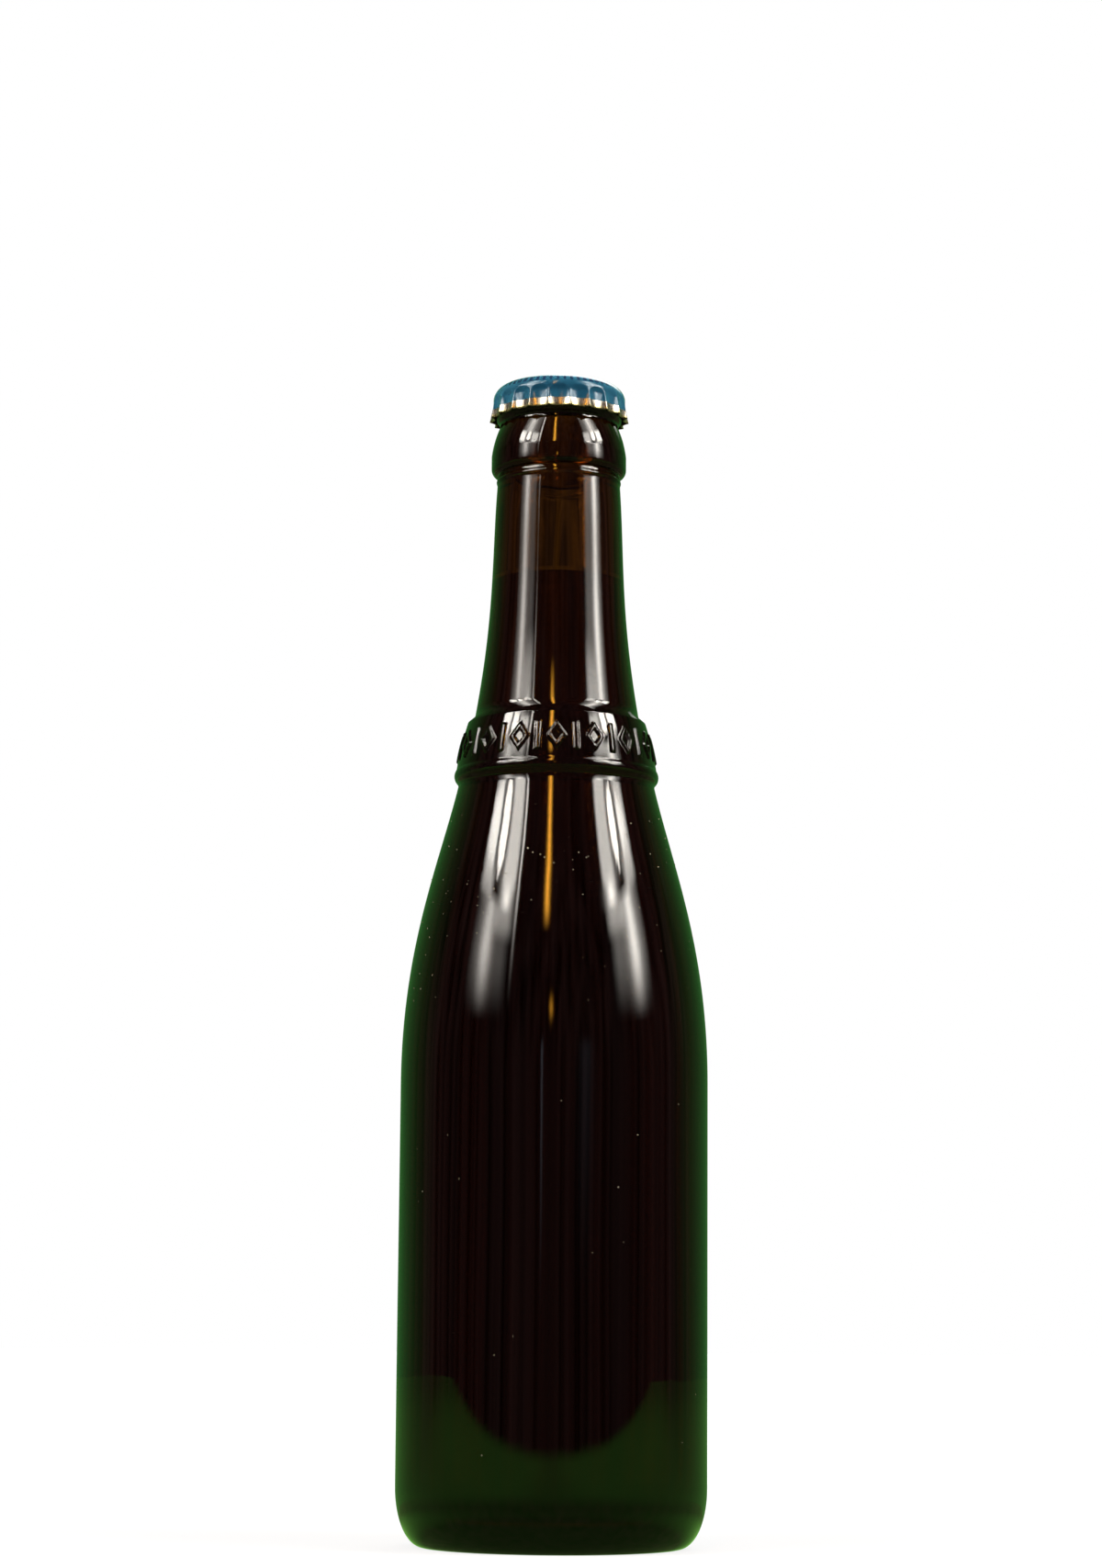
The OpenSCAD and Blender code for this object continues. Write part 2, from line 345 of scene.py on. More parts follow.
class Recipe:
    """A material's or the world's node tree, with short ways to add and join nodes."""

    def __init__(self, owner: bpy.types.Material | bpy.types.World) -> None:
        """Empties the owner's node tree and adds its output node.

        Args:
            owner: The material or the world.
        """
        owner.use_nodes = True
        self.owner = owner
        self.tree = owner.node_tree
        self.tree.nodes.clear()
        kind = "OutputWorld" if isinstance(owner, bpy.types.World) else "OutputMaterial"
        self.output = self.tree.nodes.new("ShaderNode" + kind)

    def finish(self, shader: bpy.types.Node) -> bpy.types.Material | bpy.types.World:
        """Joins the shader to the output.

        Args:
            shader: What the surface or the world shows.

        Returns:
            The finished material or world.
        """
        self.join(shader, 0, self.output, "Surface")
        return self.owner

    def add(self, kind: str, values: dict | None = None, **settings: object) -> bpy.types.Node:
        """Adds a node.

        Args:
            kind: The node's type without its ShaderNode prefix.
            values: Values of its input sockets by name or number.
            settings: Its own properties.

        Returns:
            The new node.
        """
        node = self.tree.nodes.new("ShaderNode" + kind)
        for key, value in settings.items():
            setattr(node, key, value)
        for key, value in (values or {}).items():
            node.inputs[key].default_value = value
        return node

    def join(self, source: bpy.types.Node, out: str | int, target: bpy.types.Node, into: str | int) -> None:
        """Links one node's output socket to another's input socket."""
        self.tree.links.new(source.outputs[out], target.inputs[into])

    def place(self, stretch: Triple, source: str = "Object") -> bpy.types.Node:
        """Coordinates, stretched along each axis.

        Args:
            stretch: The scale along x, y and z.
            source: Which coordinates they are.

        Returns:
            The mapping node.
        """
        mapping = self.add("Mapping", {"Scale": stretch})
        self.join(self.add("TexCoord"), source, mapping, "Vector")
        return mapping

    def split(self) -> bpy.types.Node:
        """Takes the object's own coordinates apart.

        Returns:
            The node with x, y and z on its outputs 0, 1 and 2.
        """
        node = self.add("SeparateXYZ")
        self.join(self.add("TexCoord"), "Object", node, 0)
        return node

    def length(self, source: bpy.types.Node, out: str | int) -> bpy.types.Node:
        """Measures a vector at each place.

        Args:
            source: The node that gives the vector.
            out: Its output socket.

        Returns:
            The node with the length on its output Value.
        """
        node = self.add("VectorMath", operation="LENGTH")
        self.join(source, out, node, 0)
        return node

    def figure(self, operation: str, *terms: float | Output) -> Output:
        """Works out one number from others at each place.

        Args:
            operation: The Math node's operation.
            terms: Its terms, each a number or a node with its output socket.

        Returns:
            The new node and its output socket.
        """
        node = self.add("Math", operation=operation)
        for index, term in enumerate(terms):
            if isinstance(term, tuple):
                self.join(*term, node, index)
            else:
                node.inputs[index].default_value = term
        return node, 0

    def noise(self, stretch: Triple, scale: float, detail: float) -> bpy.types.Node:
        """A noise texture in the object's own coordinates.

        Args:
            stretch: The scale along x, y and z.
            scale: The noise's own scale, per metre.
            detail: How many finer layers it has.

        Returns:
            The noise node.
        """
        texture = self.add("TexNoise", {"Scale": scale, "Detail": detail})
        self.join(self.place(stretch), 0, texture, "Vector")
        return texture

    def spread(self, source: bpy.types.Node, out: str, low: float, high: float) -> bpy.types.Node:
        """Maps a texture's 0.3 to 0.7 onto another range.

        Args:
            source: The texture.
            out: Its output socket.
            low: The new lowest number.
            high: The new highest number.

        Returns:
            The map range node.
        """
        node = self.add("MapRange", {"From Min": 0.3, "From Max": 0.7, "To Min": low, "To Max": high})
        self.join(source, out, node, "Value")
        return node

    def blend(self, share: bpy.types.Node, out: str | int, low: Colour, high: Colour) -> bpy.types.Node:
        """Mixes two colours.

        Args:
            share: The node that gives how much of the second colour shows.
            out: Its output socket.
            low: The first colour.
            high: The second colour.

        Returns:
            The mix node, whose inputs 6 and 7 are the colours and whose output 2 is the result.
        """
        node = self.add("Mix", {6: (*low, 1.0), 7: (*high, 1.0)}, data_type="RGBA")
        self.join(share, out, node, 0)
        return node

    def bump(self, source: bpy.types.Node, out: str, height: float, target: bpy.types.Node) -> None:
        """Turns a texture into bumps on a shader's normal.

        Args:
            source: The texture.
            out: Its output socket.
            height: The bumps' height in metres.
            target: The shader.
        """
        node = self.add("Bump", {"Strength": 1.0, "Distance": height})
        self.join(source, out, node, "Height")
        self.join(node, "Normal", target, "Normal")


@dataclass(frozen=True)
class ClearFinish:
    """Glass or a clear drink, coloured by what it takes from the light on its way through.

    Attributes:
        name: The material's name.
        ior: How strongly its plain faces bend light.
        marked_ior: How strongly its marked faces do, because they meet another stuff.
        roughness: How much it blurs what shows in it.
        absorbed: Red, green and blue light taken away per metre.
        ripple: Height of its fine ripples in metres.
        ripple_stretch: How close the ripples lie along x, y and z, per metre.
    """

    name: str
    ior: float
    marked_ior: float
    roughness: float
    absorbed: Colour
    ripple: float
    ripple_stretch: Triple

    def material(self) -> bpy.types.Material:
        """Makes the material, with its absorption inside and fine upright ripples on its face.

        Returns:
            The material.
        """
        recipe = Recipe(bpy.data.materials.new(self.name))
        shader = recipe.add(
            "BsdfPrincipled",
            {
                "Base Color": (*WHITE, 1.0),
                "Roughness": self.roughness,
                "IOR": self.ior,
                "Transmission Weight": 1.0,
            },
        )
        mark = recipe.add("Attribute", attribute_name=FACE_MARK)
        bending = recipe.add("MapRange", {"To Min": self.ior, "To Max": self.marked_ior})
        recipe.join(mark, "Fac", bending, "Value")
        recipe.join(bending, "Result", shader, "IOR")
        waves = recipe.noise(self.ripple_stretch, 1.0, 1.0)
        recipe.bump(waves, "Fac", self.ripple, shader)
        density = max(self.absorbed) * 1.01
        passed = (1.0 - taken / density for taken in self.absorbed)
        inside = recipe.add("VolumeAbsorption", {"Color": (*passed, 1.0), "Density": density})
        recipe.join(inside, "Volume", recipe.output, "Volume")
        return recipe.finish(shader)


@dataclass(frozen=True)
class LacquerFinish:
    """Blue lacquer on tinplate, a little uneven, with a painted sheen of lighter blue where it is met edge
    on, and a ring of short darker dashes round the top.

    The dashes' reach from the axis is in millimetres. They are longer and shorter by turns, as a slow
    wave round the cap makes them.
    """

    name: str = "blue_lacquer_coat"
    light: Colour = (0.009, 0.070, 0.128)
    deep: Colour = (0.006, 0.052, 0.100)
    # rim is the lighter blue of a painted sheen, shown where the lacquer is met edge on
    rim: Colour = (0.045, 0.205, 0.300)
    painted_sheen_blend: float = 0.35
    dash: Colour = (0.008, 0.034, 0.085)
    dash_count: int = 58
    dash_waves: int = 5
    dash_uneven: float = 0.45
    dash_from: float = 0.1
    dash_inner: float = 12.1
    dash_outer: float = 13.15
    roughness: float = 0.11
    smoother: float = 0.05
    rougher: float = 0.08
    metallic: float = 0.05
    ior: float = 1.45
    mottle_scale: float = 420.0
    grain_scale: float = 2600.0
    grain_height: float = 0.000012

    def material(self) -> bpy.types.Material:
        """Makes the material.

        Returns:
            The material.
        """
        recipe = Recipe(bpy.data.materials.new(self.name))
        shader = recipe.add("BsdfPrincipled", {"IOR": self.ior, "Metallic": self.metallic})
        mottle = recipe.noise(EVEN, self.mottle_scale, 3.0)
        paint = recipe.blend(recipe.spread(mottle, "Fac", 0.0, 1.0), "Result", self.deep, self.light)
        # painted sheen: the paint turns towards the lighter rim blue where the lacquer is met edge on
        painted_sheen_facing = recipe.add("LayerWeight", {"Blend": self.painted_sheen_blend})
        edge = recipe.blend(painted_sheen_facing, "Facing", self.deep, self.rim)
        printed = recipe.blend(*self._dashes(recipe), self.deep, self.dash)
        recipe.join(paint, 2, edge, 6)
        recipe.join(edge, 2, printed, 6)
        recipe.join(printed, 2, shader, "Base Color")
        rough = recipe.spread(mottle, "Fac", self.roughness - self.smoother, self.roughness + self.rougher)
        recipe.join(rough, "Result", shader, "Roughness")
        grain = recipe.noise(EVEN, self.grain_scale, 2.0)
        recipe.bump(grain, "Fac", self.grain_height, shader)
        return recipe.finish(shader)

    def _dashes(self, recipe: Recipe) -> Output:
        """The mask of the dashes: 1 on a dash and 0 elsewhere.

        Args:
            recipe: The material being made.

        Returns:
            The node that gives the mask, and its output socket.
        """
        split = recipe.split()
        turn = recipe.figure("ARCTAN2", (split, 1), (split, 0))
        quick = recipe.figure("SINE", recipe.figure("MULTIPLY", turn, float(self.dash_count)))
        slow = recipe.figure("SINE", recipe.figure("MULTIPLY", turn, float(self.dash_waves)))
        wave = recipe.figure("MULTIPLY_ADD", slow, self.dash_uneven, quick)
        on = recipe.figure("GREATER_THAN", wave, self.dash_from)
        flat = recipe.add("CombineXYZ")
        recipe.join(split, 0, flat, 0)
        recipe.join(split, 1, flat, 1)
        middle = (self.dash_inner + self.dash_outer) / 2.0 * MM
        half = (self.dash_outer - self.dash_inner) / 2.0 * MM
        near = recipe.figure("COMPARE", (recipe.length(flat, 0), "Value"), middle, half)
        return recipe.figure("MULTIPLY", on, near)


@dataclass(frozen=True)
class TinFinish:
    """Bare tinplate, brushed by the crimping tool, with a yellowish varnish along its cut edge.

    The heights are in metres.
    """

    varnish_top: float
    name: str = "bare_tin"
    tin: Colour = (0.40, 0.37, 0.31)
    varnish: Colour = (0.42, 0.36, 0.17)
    varnish_below: float = 0.0003
    varnish_above: float = 0.0002
    roughness: float = 0.28
    smoother: float = 0.1
    rougher: float = 0.12
    metallic: float = 0.9
    ior: float = 1.5
    scuff_stretch: Triple = (1.0, 1.0, 0.25)
    scuff_scale: float = 1800.0
    scuff_height: float = 0.00003

    def material(self) -> bpy.types.Material:
        """Makes the material.

        Returns:
            The material.
        """
        recipe = Recipe(bpy.data.materials.new(self.name))
        shader = recipe.add("BsdfPrincipled", {"Metallic": self.metallic, "IOR": self.ior})
        low, high = self.varnish_top - self.varnish_below, self.varnish_top + self.varnish_above
        height = recipe.add("MapRange", {"From Min": low, "From Max": high})
        recipe.join(recipe.split(), 2, height, "Value")
        colour = recipe.blend(height, "Result", self.varnish, self.tin)
        recipe.join(colour, 2, shader, "Base Color")
        scuffs = recipe.noise(self.scuff_stretch, self.scuff_scale, 3.0)
        rough = recipe.spread(scuffs, "Fac", self.roughness - self.smoother, self.roughness + self.rougher)
        recipe.join(rough, "Result", shader, "Roughness")
        recipe.bump(scuffs, "Fac", self.scuff_height, shader)
        return recipe.finish(shader)


@dataclass(frozen=True)
class DustFinish:
    """Dry pale dust."""

    name: str = "pale_dust"
    light: Colour = (0.42, 0.38, 0.27)
    dark: Colour = (0.10, 0.09, 0.05)
    roughness: float = 0.9
    specular: float = 0.2
    grain_scale: float = 300.0

    def material(self) -> bpy.types.Material:
        """Makes the material, paler and darker from speck to speck.

        Returns:
            The material.
        """
        recipe = Recipe(bpy.data.materials.new(self.name))
        values = {"Roughness": self.roughness, "Specular IOR Level": self.specular}
        shader = recipe.add("BsdfPrincipled", values)
        grain = recipe.noise(EVEN, self.grain_scale, 2.0)
        colour = recipe.blend(recipe.spread(grain, "Fac", 0.0, 1.0), "Result", self.dark, self.light)
        recipe.join(colour, 2, shader, "Base Color")
        return recipe.finish(shader)


@dataclass(frozen=True)
class GlowFinish:
    """A studio card that gives light, and hides what is behind it, by the strength painted on its mesh.

    Attributes:
        name: Its name.
        colour: Its light.
        cover: How much of what is behind it full strength hides.
        steep: The share of its strength that is left where it is met steeply.
        slant: Where that share begins and where full strength does, 1 being met edge on.
    """

    name: str
    colour: Colour
    cover: float = 0.0
    steep: float = 1.0
    slant: Point = (0.55, 0.9)

    def material(self) -> bpy.types.Material:
        """Makes the material.

        Returns:
            The material.
        """
        recipe = Recipe(bpy.data.materials.new(self.name))
        painted = recipe.add("Attribute", attribute_name=GLOW_MARK)
        low, high = self.slant
        slant = recipe.add("MapRange", {"From Min": low, "From Max": high, "To Min": self.steep})
        recipe.join(recipe.add("LayerWeight", {"Blend": 0.5}), "Facing", slant, "Value")
        strength = recipe.figure("MULTIPLY", (painted, "Fac"), (slant, "Result"))
        light = recipe.add("Emission", {"Color": (*self.colour, 1.0)})
        recipe.join(*strength, light, "Strength")
        veil = recipe.add("MapRange", {"To Min": 1.0, "To Max": 1.0 - self.cover})
        recipe.join(*strength, veil, "Value")
        clear = recipe.add("BsdfTransparent")
        recipe.join(veil, "Result", clear, "Color")
        both = recipe.add("AddShader")
        recipe.join(light, 0, both, 0)
        recipe.join(clear, 0, both, 1)
        return recipe.finish(both)


@dataclass(frozen=True)
class FloorFinish:
    """A plain pale floor, glowing evenly far off, whose glow is painted lower near the bottle as a painted
    shade, round the bottle's faint soft shadow.
    """

    name: str = "pale_floor"
    paper: Colour = (0.16, 0.16, 0.16)
    near_light: float = 0.80
    far_light: float = 1.0
    near: float = 0.05
    far: float = 0.45

    def material(self) -> bpy.types.Material:
        """Makes the material.

        Returns:
            The material.
        """
        recipe = Recipe(bpy.data.materials.new(self.name))
        matt = recipe.add("BsdfDiffuse", {"Color": (*self.paper, 1.0)})
        light = recipe.add("Emission", {"Color": (*WHITE, 1.0)})
        reach = recipe.length(recipe.add("TexCoord"), "Object")
        # painted shade: the glow rises from near_light close to the bottle to far_light far off
        values = {"From Min": self.near, "From Max": self.far}
        values |= {"To Min": self.near_light, "To Max": self.far_light}
        painted_shade_fade = recipe.add("MapRange", values, interpolation_type="SMOOTHSTEP")
        recipe.join(reach, "Value", painted_shade_fade, "Value")
        recipe.join(painted_shade_fade, "Result", light, "Strength")
        both = recipe.add("AddShader")
        recipe.join(matt, 0, both, 0)
        recipe.join(light, 0, both, 1)
        return recipe.finish(both)


# --- the bottle's own lines ---------------------------------------------------------------------


@dataclass
class BottleShape:
    """The bottle's sizes in millimetres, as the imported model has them, and the steps of its lines.

    The steps say how many stretches each line is cut into. The lowest rows of the body, as many as
    corner_rows, have no row inside, because the corner of the inside takes their place.
    """

    body_d: float = 61.0
    body_h: float = 90.2
    body_wall: float = 2.7
    heel_w: float = 5.4
    heel_h: float = 11.5
    stand_w: float = 1.4
    push_h: float = 4.0
    base_glass: float = 4.2
    inner_corner: float = 9.0
    corner_floor: float = 5.6
    shoulder_h: float = 59.4
    groove_d: float = 39.5
    shoulder_hold: float = 27.0
    shoulder_run: float = 16.0
    shoulder_slope: float = 13.3
    belt_step: float = 0.4
    belt_lean: float = 2.2
    belt_h: float = 14.2
    bead_h: float = 3.4
    bead_bulge: float = 0.6
    ledge_h: float = 1.2
    ledge_w: float = 1.4
    belt_bulge: float = 0.2
    neck_top_d: float = 24.7
    neck_h: float = 50.1
    neck_slope: float = 10.0
    neck_run: float = 23.0
    neck_top_slope: float = 4.9
    neck_top_run: float = 15.0
    neck_wall: float = 3.3
    collar_step: float = 1.4
    collar_h: float = 10.3
    collar_foot: float = 1.4
    collar_flat: float = 2.6
    collar_bulge: float = 0.25
    lock_undercut: float = 1.1
    lock_d: float = 26.2
    lock_rise: float = 2.4
    lock_flat: float = 1.9
    lock_bulge: float = 0.3
    groove_flat: float = 0.6
    lip_h: float = 3.9
    rim_w: float = 0.8
    rim_round: float = 0.8
    bore_d: float = 16.8
    bore_taper: float = 12.0
    push_steps: int = 16
    heel_steps: int = 20
    body_steps: int = 21
    shoulder_steps: int = 44
    bead_steps: int = 10
    belt_rows: int = 50
    neck_steps: int = 40
    collar_foot_steps: int = 10
    collar_steps: int = 12
    lock_steps: int = 8
    lip_steps: int = 12
    rim_steps: int = 6
    corner_steps: int = 14
    corner_rows: int = 6

    def __post_init__(self) -> None:
        """Works out the heights and radii that follow from the sizes."""
        self.body_r = self.body_d / 2.0
        self.stand_r = self.body_r - self.heel_w
        self.groove_r = self.groove_d / 2.0
        self.belt_r = self.groove_r + self.belt_step
        self.belt_top_r = self.belt_r - self.belt_lean
        self.neck_foot_r = self.belt_top_r - self.ledge_w
        self.neck_top_r = self.neck_top_d / 2.0
        self.collar_r = self.neck_top_r + self.collar_step
        self.lock_r = self.lock_d / 2.0
        self.lock_groove_r = self.lock_r - self.lock_undercut
        self.bore_r = self.bore_d / 2.0
        self.rim_r = self.bore_r + self.rim_round + self.rim_w
        self.groove_z = self.body_h + self.shoulder_h
        self.belt_z = self.groove_z + self.bead_h
        self.belt_top_z = self.groove_z + self.belt_h - self.ledge_h
        self.neck_z = self.groove_z + self.belt_h
        self.collar_z = self.neck_z + self.neck_h
        self.lock_groove_z = self.collar_z + self.collar_h
        self.lock_z = self.lock_groove_z + self.lock_rise
        self.lip_z = self.lock_z + self.lock_flat
        self.rim_z = self.lip_z + self.lip_h

    def push_line(self) -> list[Point]:
        """The hollow under the base, from the middle out to the standing ring.

        Returns:
            Radius and height of each point.
        """
        edge, top = self.stand_r - self.stand_w, self.push_h
        line = curve((edge, 0.0), (edge - top, top), (edge / 2.0, top), (0.0, top), self.push_steps)
        return line[::-1][1:]

    def heel_line(self) -> list[Point]:
        """The rounded heel, from the standing ring to the body."""
        return ellipse((self.stand_r, self.heel_h), self.heel_w, self.heel_h, -90.0, 0.0, self.heel_steps)

    def body_line(self) -> list[Point]:
        """The straight body between the heel and the shoulder."""
        heights = np.linspace(self.heel_h, self.body_h, self.body_steps + 1)[1:-1]
        return [(self.body_r, float(z)) for z in heights]

    def shoulder_line(self) -> list[Point]:
        """The shoulder, from the body to the groove.

        Returns:
            Radius and height of each point.
        """
        slope = math.tan(math.radians(self.shoulder_slope))
        return curve(
            (self.body_r, self.body_h),
            (self.body_r, self.body_h + self.shoulder_hold),
            (self.groove_r + self.shoulder_run * slope, self.groove_z - self.shoulder_run),
            (self.groove_r, self.groove_z),
            self.shoulder_steps,
        )

    def belt_line(self) -> list[Point]:
        """The belt with its bead and its bulging face.

        Returns:
            Radius and height of each point.
        """
        foot, edge = (self.groove_r, self.groove_z + self.groove_flat), (self.belt_r, self.belt_z)
        face = bow(edge, (self.belt_top_r, self.belt_top_z), self.belt_bulge, self.belt_rows)
        return bow(foot, edge, self.bead_bulge, self.bead_steps) + face[1:]

    def neck_line(self) -> list[Point]:
        """The neck, from the belt to the collar.

        Returns:
            Radius and height of each point.
        """
        foot, top = (math.tan(math.radians(a)) for a in (self.neck_slope, self.neck_top_slope))
        return curve(
            (self.neck_foot_r, self.neck_z),
            (self.neck_foot_r - self.neck_run * foot, self.neck_z + self.neck_run),
            (self.neck_top_r + self.neck_top_run * top, self.collar_z - self.neck_top_run),
            (self.neck_top_r, self.collar_z),
            self.neck_steps,
        )

    def finish_line(self) -> list[Point]:
        """The collar, the locking ring and the lip, up to the rim.

        Returns:
            Radius and height of each point.
        """
        foot_z = self.collar_z + self.collar_foot
        centre, steps = (self.neck_top_r, foot_z), self.collar_foot_steps
        foot = ellipse(centre, self.collar_step, self.collar_foot, -90.0, 0.0, steps)
        groove = (self.lock_groove_r, self.lock_groove_z)
        side = bow((self.collar_r, foot_z + self.collar_flat), groove, self.collar_bulge, self.collar_steps)
        ring_foot = (self.lock_groove_r, self.lock_groove_z + self.groove_flat)
        ring = bow(ring_foot, (self.lock_r, self.lock_z), self.lock_bulge, self.lock_steps)
        across = self.lock_r - self.rim_r
        lip = ellipse((self.rim_r, self.lip_z), across, self.lip_h, 0.0, 90.0, self.lip_steps)
        return foot + side + ring + lip

    def wall_at(self, z: float) -> float:
        """Thickness of the glass at height z, which grows from the body to the neck."""
        share = min(1.0, max(0.0, (z - self.body_h) / (self.neck_z - self.body_h)))
        return self.body_wall + (self.neck_wall - self.body_wall) * share

    def inner_line(self) -> list[Point]:
        """The inside, from the lowest ring of its floor up to the rim.

        Returns:
            Radius and height of each point.
        """
        bend = self.inner_corner
        corner_middle = (self.body_r - self.body_wall - bend, self.corner_floor + bend)
        corner = ellipse(corner_middle, bend, bend, -90.0, 0.0, self.corner_steps)
        outside = self.body_line()[self.corner_rows :] + self.shoulder_line() + self.neck_line()
        sides = [(r - self.wall_at(z), z) for r, z in outside]
        bore = [(self.bore_r, self.collar_z + self.bore_taper)]
        edge = self.rim_round
        rim = ellipse((self.bore_r + edge, self.rim_z - edge), edge, edge, 180.0, 90.0, self.rim_steps)
        return corner + sides + bore + rim

    @property
    def inner_floor_z(self) -> float:
        """Height of the inside's floor in its middle."""
        return self.push_h + self.base_glass


# --- the pieces ---------------------------------------------------------------------------------


@dataclass
class GlassShell:
    """The bottle itself: one closed skin of glass with its belt of raised lozenges and bars.

    Sizes are in millimetres. The marked faces are those of the inside that the beer touches.
    """

    shape: BottleShape
    level: float
    steps: int = 192
    belt_steps: int = 576
    mark_count: int = 16
    mark_h: float = 5.8
    mark_w: float = 3.8
    mark_line: float = 0.8
    mark_rise: float = 0.35
    mark_drop: float = 0.4
    mark_edge: float = 0.05
    bar_w: float = 0.9
    bead_rise: float = 0.24
    bead_drop: float = 1.3
    bead_half: float = 0.5
    bead_reach: float = 3.25
    bead_rows: int = 22
    row_gap: float = 0.1
    still_h: float = 4.0
    uneven_h: float = 14.0
    mouth_fade: float = 8.0
    outer_ripple: Ripple = Ripple(height=0.022, waves=9, round_most=9, up_most=0.09, seed=5)
    inner_ripple: Ripple = Ripple(height=0.10, waves=12, round_most=12, up_most=0.12, seed=8)
    finish: ClearFinish = ClearFinish(
        name="amber_glass",
        ior=1.52,
        marked_ior=1.134,
        roughness=0.006,
        absorbed=(315.0, 480.0, 812.0),
        ripple=0.000025,
        ripple_stretch=(200.0, 200.0, 16.0),
    )

    def rows(self) -> list[tuple[float, float, Side]]:
        """The closed line of the glass, from under the base up the outside and down the inside.

        Returns:
            Radius, height and side of each row of points.
        """
        shape = self.shape
        plain = shape.push_line() + shape.heel_line() + shape.body_line() + shape.shoulder_line()
        lines = [(plain, Side.OUTER), (shape.belt_line(), Side.MARKED), (self._neck_rows(), Side.OUTER)]
        lines += [(shape.finish_line(), Side.OUTER), (shape.inner_line()[::-1], Side.INNER)]
        return [(r, z, side) for line, side in lines for r, z in line]

    def _neck_rows(self) -> list[Point]:
        """The neck's rows, with close ones for a low bead under the collar.

        Returns:
            Radius and height of each point.
        """
        shape = self.shape
        line = np.array(shape.neck_line())
        low = shape.collar_z - self.bead_reach
        rows = [(float(r), float(z)) for r, z in line if z < low - self.row_gap]
        for z in np.linspace(low, shape.collar_z, self.bead_rows):
            away = (z - shape.collar_z + self.bead_drop) / self.bead_half
            radius = float(np.interp(z, line[:, 1], line[:, 0]))
            rows.append((radius + self.bead_rise * math.exp(-(away**2)), float(z)))
        return rows

    def marks(self, angle: np.ndarray, z: float) -> np.ndarray:
        """The raised ring of lozenges with an upright bar between each two.

        Args:
            angle: Angles round the axis in radians.
            z: Height in millimetres.

        Returns:
            How far the belt stands out at each angle.
        """
        shape = self.shape
        middle_z = (shape.belt_z + shape.belt_top_z) / 2.0 - self.mark_drop
        tilt = math.atan2(shape.belt_lean, shape.belt_top_z - shape.belt_z)
        radius = (shape.belt_r + shape.belt_top_r) / 2.0
        up = (z - middle_z) / math.cos(tilt)
        turns = (angle + math.pi / 2.0) * self.mark_count / (2.0 * math.pi)
        pitch = 2.0 * math.pi * radius / self.mark_count
        across = (turns - np.round(turns)) * pitch
        between = (turns + 0.5 - np.round(turns + 0.5)) * pitch
        reach = np.abs(across) / (self.mark_w / 2.0) + abs(up) / (self.mark_h / 2.0)
        inner = 1.0 - 2.0 * self.mark_line / min(self.mark_w, self.mark_h)
        line = band(reach, inner, 1.0, self.mark_edge)
        soft = self.mark_edge * self.mark_w / 2.0
        ends = 1.0 - ease(np.array(abs(up)), self.mark_h / 2.0 - soft, self.mark_h / 2.0 + soft)
        bar = band(between, -self.bar_w / 2.0, self.bar_w / 2.0, soft) * ends
        return self.mark_rise * np.maximum(line, bar)

    def build(self) -> bpy.types.Object:
        """Makes the glass.

        Returns:
            The finished piece.
        """
        skin = Skin()
        last = skin.tip(self.shape.push_h)
        for radius, z, side in self.rows():
            count = self.belt_steps if side is Side.MARKED else self.steps
            angle = circle(count)
            ripple = self.inner_ripple if side is Side.INNER else self.outer_ripple
            offset = ripple.at(angle, z) * self._freedom(z, side)
            if side is Side.MARKED:
                offset = offset + self.marks(angle, z)
            ring = skin.ring(angle, radius + offset, z)
            skin.bridge(last, ring, 1 if side is Side.INNER and z < self.level else 0)
            last = ring
        skin.bridge(last, skin.tip(self.shape.inner_floor_z), 1)
        piece = skin.build("glass", [self.finish.material()])
        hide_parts(Node.BOTTLE.value)
        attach(piece, "root")
        return piece

    def _freedom(self, z: float, side: Side) -> float:
        """How much of the glass's unevenness is let through at height z, none of it at the mouth.

        Args:
            z: Height in millimetres.
            side: The skin of the glass.

        Returns:
            The share, from 0 to 1.
        """
        top = self.shape.collar_z + (0.0 if side is Side.INNER else self.shape.collar_h)
        near_mouth = float(ease(np.array(z), top - self.mouth_fade, top))
        return (1.0 - near_mouth) * float(ease(np.array(z), self.still_h, self.uneven_h))


@dataclass
class Beer:
    """The beer, which reaches a little into the glass so that no gap of air shows round it.

    Sizes are in millimetres. Its marked faces are the free top, which meets the air.
    """

    shape: BottleShape
    level: float
    steps: int = 192
    into_glass: float = 0.3
    climb: float = 0.15
    climb_w: float = 1.0
    climb_steps: int = 8
    finish: ClearFinish = ClearFinish(
        name="dark_brown_beer",
        ior=1.0,
        marked_ior=1.34,
        roughness=0.0,
        absorbed=(52.0, 84.0, 110.0),
        ripple=0.00001,
        ripple_stretch=(60.0, 60.0, 60.0),
    )

    def build(self) -> bpy.types.Object:
        """Makes the beer.

        Returns:
            The finished piece.
        """
        skin = Skin()
        angle = circle(self.steps)
        last = skin.tip(self.shape.inner_floor_z - self.into_glass)
        edge_z = self.level + self.climb
        line = [(r, z) for r, z in self.shape.inner_line() if z < edge_z]
        above = next((r, z) for r, z in self.shape.inner_line() if z >= edge_z)
        share = (edge_z - line[-1][1]) / (above[1] - line[-1][1])
        top_r = line[-1][0] + (above[0] - line[-1][0]) * share
        for index, (radius, z) in enumerate([*line, (top_r, edge_z)]):
            drop = self.into_glass if index == 0 else 0.0
            ring = skin.ring(angle, np.full_like(angle, radius + self.into_glass), z - drop)
            skin.bridge(last, ring)
            last = ring
        for step in range(1, self.climb_steps + 1):
            share = step / self.climb_steps
            radius = top_r - self.climb_w * share
            height = self.level + self.climb * (1.0 - share) ** 2
            ring = skin.ring(angle, np.full_like(angle, radius), height)
            skin.bridge(last, ring, 1)
            last = ring
        middle = skin.ring(angle, np.full_like(angle, radius / 2.0), self.level)
        skin.bridge(last, middle, 1)
        skin.bridge(middle, skin.tip(self.level), 1)
        piece = skin.build("beer_fill", [self.finish.material()])
        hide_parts(Node.BEER.value)
        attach(piece, "root")
        return piece


